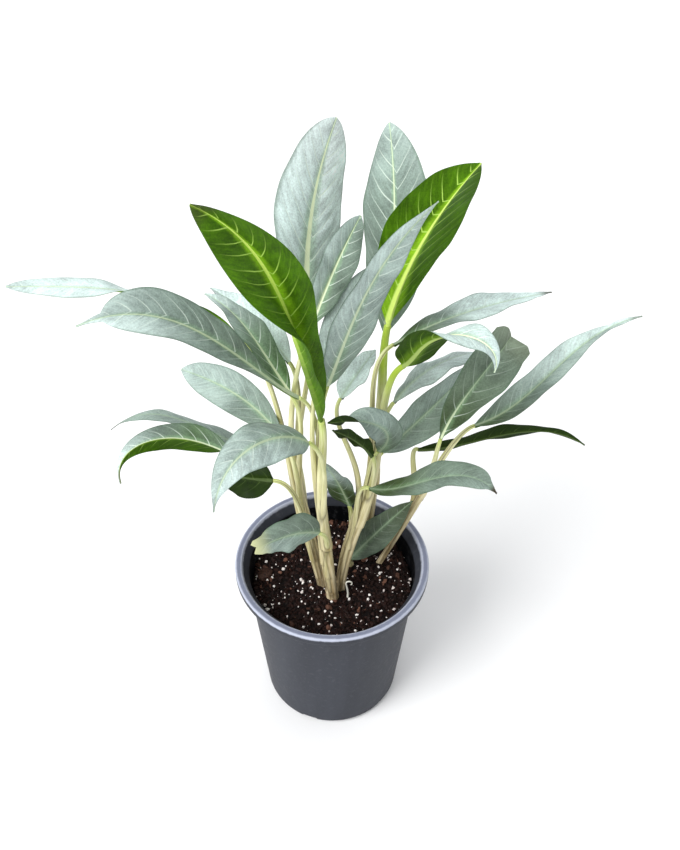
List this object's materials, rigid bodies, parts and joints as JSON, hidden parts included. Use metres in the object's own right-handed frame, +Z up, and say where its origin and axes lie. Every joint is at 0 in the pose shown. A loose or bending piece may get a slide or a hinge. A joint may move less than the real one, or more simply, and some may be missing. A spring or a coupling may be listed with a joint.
{
  "type": "potted chinese evergreen",
  "caption": "House plant with silver-green lance-shaped leaves on pale upright stalks, growing in a round tapered nursery pot filled with potting soil.",
  "frame": {"origin": "centre of the pot's flat underside", "axes": "+Z up along the pot's axis, front of the plant towards -Y, +X to the right seen from the front"},
  "size_m": [0.4314, 0.2261, 0.4996],
  "materials": {
    "pot": "moulded dark blue-grey plastic, satin",
    "soil": "damp peat potting mix with bark crumbs and perlite",
    "stalk": "smooth cream-green leaf stalks and short canes",
    "leaf_silver": "satin silver-green upper face, green midrib and margin, mid-green underside",
    "leaf_green": "satin green underside with yellow-green midrib, silver-green upper face"
  },
  "bodies": {
    "root": {"pot": "pot", "soil": "soil", "shoot_front": "stalk", "shoot_right_front": "stalk", "shoot_rear": "stalk", "shoot_right": "stalk", "shoot_left": "stalk", "shoot_young": "stalk", "leaf_back_left_tall": "leaf_silver", "leaf_back_right_tall": "leaf_silver", "leaf_new_left": "leaf_green", "leaf_new_right": "leaf_green", "leaf_centre_upright": "leaf_silver", "leaf_back_centre": "leaf_silver", "leaf_back_inner": "leaf_silver", "leaf_back_left_low": "leaf_silver", "leaf_left_inner": "leaf_silver", "leaf_left_long": "leaf_silver", "leaf_far_left": "leaf_silver", "leaf_left_middle": "leaf_silver", "leaf_left_drooping": "leaf_silver", "leaf_left_curled": "leaf_silver", "leaf_front_left_big": "leaf_silver", "leaf_left_lowest": "leaf_green", "leaf_front_small": "leaf_silver", "leaf_front_right_small": "leaf_silver", "leaf_right_low": "leaf_silver", "leaf_right_thin": "leaf_green", "leaf_far_right": "leaf_silver", "leaf_right_broad": "leaf_silver", "leaf_right_twisted": "leaf_silver", "leaf_right_high": "leaf_silver", "leaf_right_inner": "leaf_silver", "leaf_right_middle": "leaf_silver", "leaf_centre_arched": "leaf_silver", "leaf_centre_narrow": "leaf_green", "leaf_centre_low": "leaf_silver", "leaf_back_pale": "leaf_silver"}
  },
  "joints": []
}
